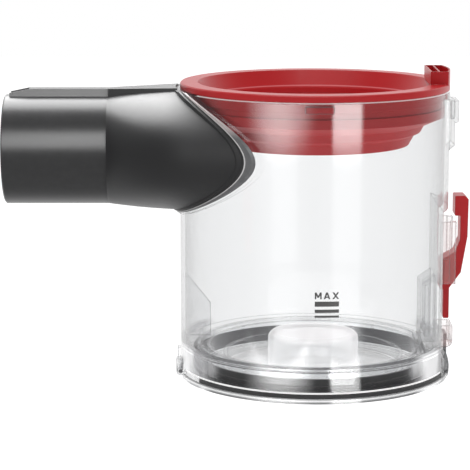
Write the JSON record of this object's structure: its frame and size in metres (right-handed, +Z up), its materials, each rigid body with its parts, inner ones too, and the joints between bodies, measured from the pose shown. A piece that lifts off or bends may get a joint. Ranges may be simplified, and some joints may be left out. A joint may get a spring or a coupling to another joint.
{
  "type": "cyclone dust bin",
  "caption": "Clear round dust bin with a flared side inlet, a soft scraper funnel in the top, and a hinged sealed base that a rear slider releases.",
  "frame": {"origin": "on the axis of the bin, on the underside of the base", "axes": "+X to the rear, where the release slider is, -X along the inlet, +Z up the axis of the bin"},
  "size_m": [0.1979, 0.117, 0.1318],
  "materials": {
    "clear_plastic": "polished clear",
    "dark_plastic": "satin",
    "red_plastic": "semi-gloss",
    "red_silicone": "satin",
    "black_rubber": "matte",
    "grey_rubber": "satin",
    "white_silicone": "satin",
    "pin_steel": "drawn"
  },
  "bodies": {
    "bin": {"bin_body": "clear_plastic", "inlet_tube": "dark_plastic", "inlet_gasket": "grey_rubber", "collar_ring": "red_plastic", "scraper_skirt": "red_silicone", "hinge_pin": "pin_steel"},
    "base": {"base_lid": "clear_plastic", "base_seal": "black_rubber", "centre_seal": "white_silicone"},
    "slider": {"release_slider": "red_plastic"}
  },
  "joints": [
    {"name": "base_hinge", "type": "hinge", "parent": "bin", "child": "base", "pos_m": [-0.0573, 0, 0.0026], "axis": [0, 1, 0], "range_deg": [0, 100]},
    {"name": "slider_run", "type": "slide", "parent": "bin", "child": "slider", "axis": [0, 0, -1], "range_m": [0, 0.0065]}
  ]
}
